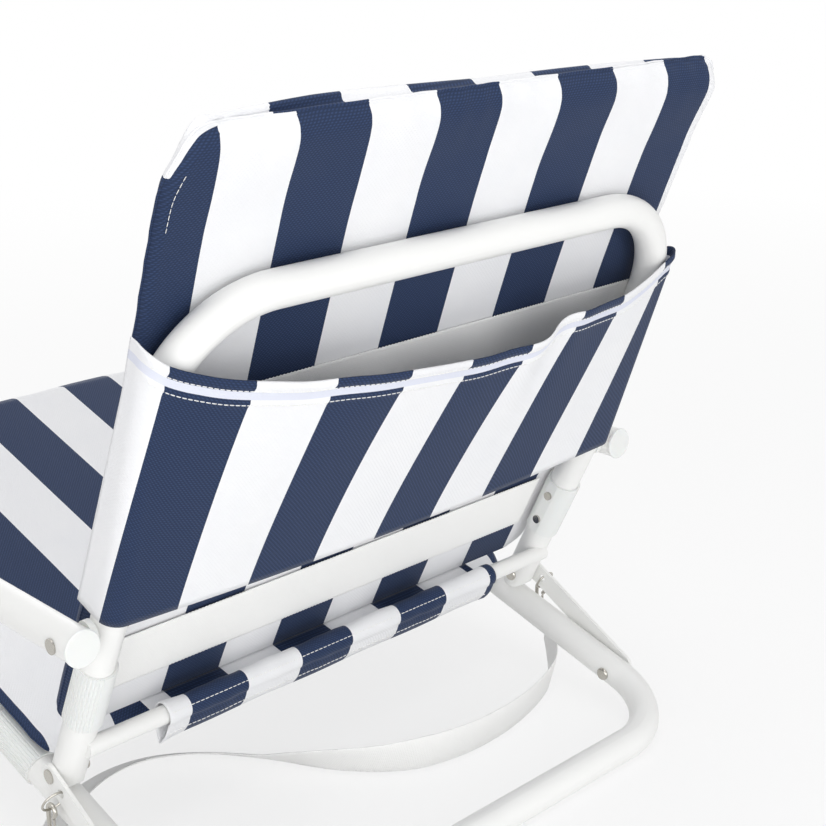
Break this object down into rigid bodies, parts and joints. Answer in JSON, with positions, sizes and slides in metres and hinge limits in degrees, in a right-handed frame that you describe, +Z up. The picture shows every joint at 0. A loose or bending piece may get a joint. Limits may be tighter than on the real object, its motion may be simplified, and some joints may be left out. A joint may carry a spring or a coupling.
{
  "type": "low folding beach chair",
  "caption": "Low folding beach chair of white round tube with flat link strips, padded striped seat and back, rear pocket, tubular arms and a carry strap on snap hooks.",
  "frame": {"origin": "centre of the footprint on the floor", "axes": "+Z up, the chair faces -Y, +X is the sitter's left"},
  "size_m": [0.5614, 0.6172, 0.5652],
  "materials": {
    "white_tube": "satin powder coat",
    "white_plastic": "satin",
    "nickel": "bright plated",
    "striped_cloth": "woven navy and white stripes",
    "white_webbing": "woven"
  },
  "bodies": {
    "base": {"carry_strap": "white_webbing", "front_leg_rivets": "nickel", "front_link_rivets": "nickel", "front_seat_band": "white_webbing", "link_rail_rivets": "nickel", "rail_coupler_left": "white_plastic", "rail_coupler_right": "white_plastic", "rail_coupler_screws": "nickel", "rear_leg_frame": "white_tube", "rear_seat_band": "white_webbing", "seat_frame": "white_tube", "seat_pad": "striped_cloth"},
    "link": {"back_pivot_rivets": "nickel", "hook_gate_left": "nickel", "hook_gate_right": "nickel", "link_strip_left": "white_tube", "link_strip_right": "white_tube", "snap_hook_left": "nickel", "snap_hook_right": "nickel", "split_ring_left": "nickel", "split_ring_right": "nickel", "strap_eye_left": "nickel", "strap_eye_right": "nickel", "swivel_barrel_left": "nickel", "swivel_barrel_right": "nickel"},
    "back": {"arm_pivot_bolts": "nickel", "arm_spacers": "white_plastic", "back_arch": "white_tube", "back_coupler_left": "white_plastic", "back_coupler_right": "white_plastic", "back_coupler_screws": "nickel", "back_lower_tube_left": "white_tube", "back_lower_tube_right": "white_tube", "back_pad": "striped_cloth", "crossbar": "white_tube", "hem_sleeve": "striped_cloth", "lower_back_band": "white_webbing", "pocket": "striped_cloth", "upper_back_band": "white_webbing"},
    "arms": {"arm_front_cap_left": "white_plastic", "arm_front_cap_right": "white_plastic", "arm_front_rivets": "nickel", "arm_left": "white_tube", "arm_rear_cap_left": "white_plastic", "arm_rear_cap_right": "white_plastic", "arm_right": "white_tube"},
    "front_link": {"front_link_strip_left": "white_tube", "front_link_strip_right": "white_tube"},
    "front_leg": {"front_leg": "white_tube"}
  },
  "joints": [
    {"name": "link_swing", "type": "hinge", "parent": "base", "child": "link", "pos_m": [0, 0.22858, 0.03097], "axis": [1, 0, 0], "range_deg": [-31, 0]},
    {"name": "back_fold", "type": "hinge", "parent": "link", "child": "back", "pos_m": [0, 0.11886, 0.08846], "axis": [1, 0, 0], "range_deg": [0, 123.1]},
    {"name": "arm_swing", "type": "hinge", "parent": "back", "child": "arms", "pos_m": [0, 0.18385, 0.22532], "axis": [1, 0, 0], "range_deg": [-83.6, 0]},
    {"name": "front_link_swing", "type": "hinge", "parent": "base", "child": "front_link", "pos_m": [0, -0.17219, 0.14061], "axis": [1, 0, 0], "range_deg": [0, 120.9]},
    {"name": "front_leg_fold", "type": "hinge", "parent": "base", "child": "front_leg", "pos_m": [0, -0.191, 0.14576], "axis": [1, 0, 0], "range_deg": [0, 90]}
  ],
  "couplings": [
    {"joint": "link_swing", "follows": "back_fold", "ratio": -0.2518},
    {"joint": "arm_swing", "follows": "back_fold", "ratio": -0.67827},
    {"joint": "front_link_swing", "follows": "back_fold", "ratio": 0.98171}
  ]
}
